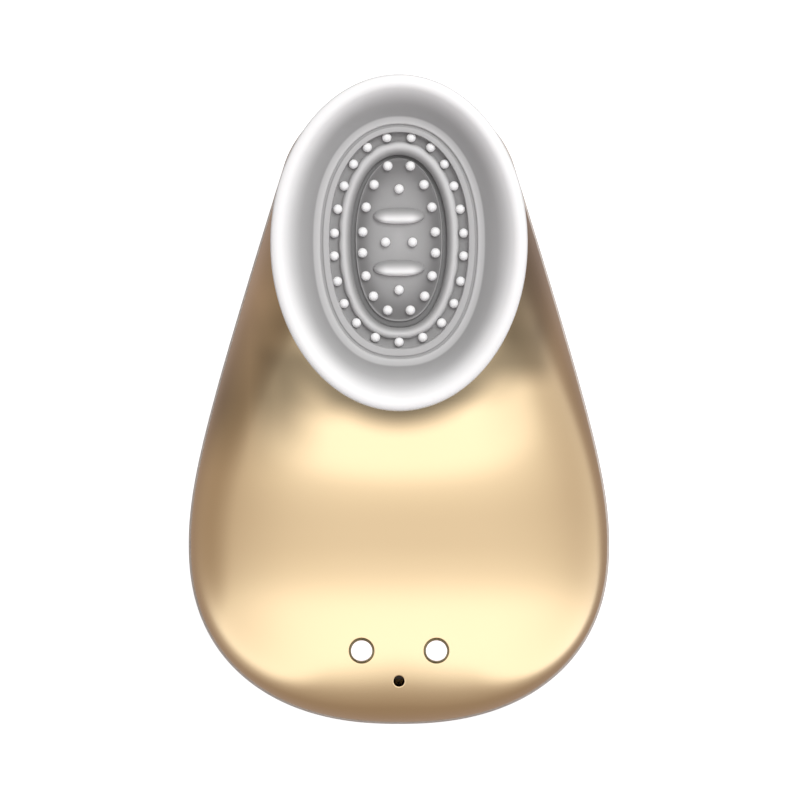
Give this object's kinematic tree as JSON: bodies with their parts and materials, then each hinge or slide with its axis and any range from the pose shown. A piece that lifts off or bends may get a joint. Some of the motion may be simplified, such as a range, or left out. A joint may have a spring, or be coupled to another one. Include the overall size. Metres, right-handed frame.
{
  "type": "handheld massager",
  "caption": "Hand-held rechargeable massager: teardrop body with a gold front, a flared oval silicone cup at the narrow end and a soft nubbed pad that pulses inside it.",
  "frame": {"origin": "on the resting plane, under the centre of the outline seen from above, the device lying on its back", "axes": "+Z out of the front towards the open side of the cup, +Y along the body towards the head with the cup, +X to the right seen from the front"},
  "size_m": [0.0648, 0.0998, 0.05],
  "materials": {
    "gold_shell": "gold metallised coating, high gloss",
    "white_shell": "warm white moulded plastic, satin gloss",
    "silicone": "white liquid silicone rubber, satin",
    "silicone_pale": "pale grey silicone seal",
    "button_silicone": "soft-touch silicone button",
    "dark_seal": "dark elastomer insulator",
    "contact_plate": "white-bronze plated contact, polished",
    "smoked_lens": "smoked light guide",
    "steel": "zinc plated steel",
    "spring_steel": "stainless spring wire",
    "magnet": "nickel plated magnet",
    "copper": "enamelled copper winding",
    "tungsten": "sintered heavy-metal weight on a steel shaft",
    "black_plastic": "black engineering plastic",
    "grey_plastic": "grey glass-filled plastic",
    "board": "green solder mask",
    "chips": "moulded electronic components",
    "cell_foil": "laminated cell pouch",
    "foam": "closed-cell foam tape",
    "red_wire": "silicone insulated lead",
    "white_wire": "silicone insulated lead"
  },
  "bodies": {
    "housing": {"front_shell": "gold_shell", "rear_shell": "white_shell", "seam_gasket": "silicone_pale", "latch_ring": "grey_plastic", "drive_seal": "silicone_pale", "drive_yoke": "steel", "drive_magnet": "magnet", "pole_piece": "steel", "return_spring": "spring_steel", "chassis": "black_plastic", "chassis_screws": "steel", "main_board": "board", "board_components": "chips", "board_screws": "steel", "battery": "cell_foil", "battery_pad": "foam", "battery_leads": "red_wire", "motor_can": "steel", "motor_bracket": "grey_plastic", "motor_clamp": "spring_steel", "clamp_screws": "steel", "motor_leads": "red_wire", "coil_leads": "white_wire", "charge_contact_left": "contact_plate", "charge_contact_right": "contact_plate", "contact_seals": "dark_seal", "light_pipe": "smoked_lens", "switch_board": "board", "tact_switches": "chips", "power_button_spring": "spring_steel", "mode_button_spring": "spring_steel"},
    "cup": {"massage_cup": "silicone", "pad_bellows": "silicone"},
    "pad": {"massage_pad": "silicone"},
    "drive": {"drive_plate": "grey_plastic", "coil_bobbin": "black_plastic", "drive_coil": "copper"},
    "rotor": {"motor_rotor": "tungsten"},
    "power_button": {"power_button": "button_silicone"},
    "mode_button": {"mode_button": "button_silicone"}
  },
  "joints": [
    {"name": "drive_pulse", "type": "slide", "parent": "housing", "child": "drive", "axis": [0, 0, 1], "range_m": [-0.0008, 0.0008], "stiffness_N_per_m": 1500, "deforming": ["return_spring"]},
    {"name": "cup_lift", "type": "slide", "parent": "housing", "child": "cup", "axis": [0, 0, 1], "range_m": [0, 0.03]},
    {"name": "pad_pulse", "type": "slide", "parent": "cup", "child": "pad", "axis": [0, 0, 1], "range_m": [-0.0008, 0.0008], "deforming": ["pad_bellows"]},
    {"name": "rotor_spin", "type": "hinge", "parent": "housing", "child": "rotor", "pos_m": [0.005, 0.0035, 0.0225], "axis": [1, 0, 0], "continuous": true},
    {"name": "power_button_press", "type": "slide", "parent": "housing", "child": "power_button", "axis": [0, 0, 1], "range_m": [0, 0.0006], "stiffness_N_per_m": 900, "deforming": ["power_button_spring"]},
    {"name": "mode_button_press", "type": "slide", "parent": "housing", "child": "mode_button", "axis": [0, 0, 1], "range_m": [0, 0.0006], "stiffness_N_per_m": 900, "deforming": ["mode_button_spring"]}
  ],
  "couplings": [
    {"joint": "pad_pulse", "follows": "drive_pulse", "ratio": 1}
  ]
}
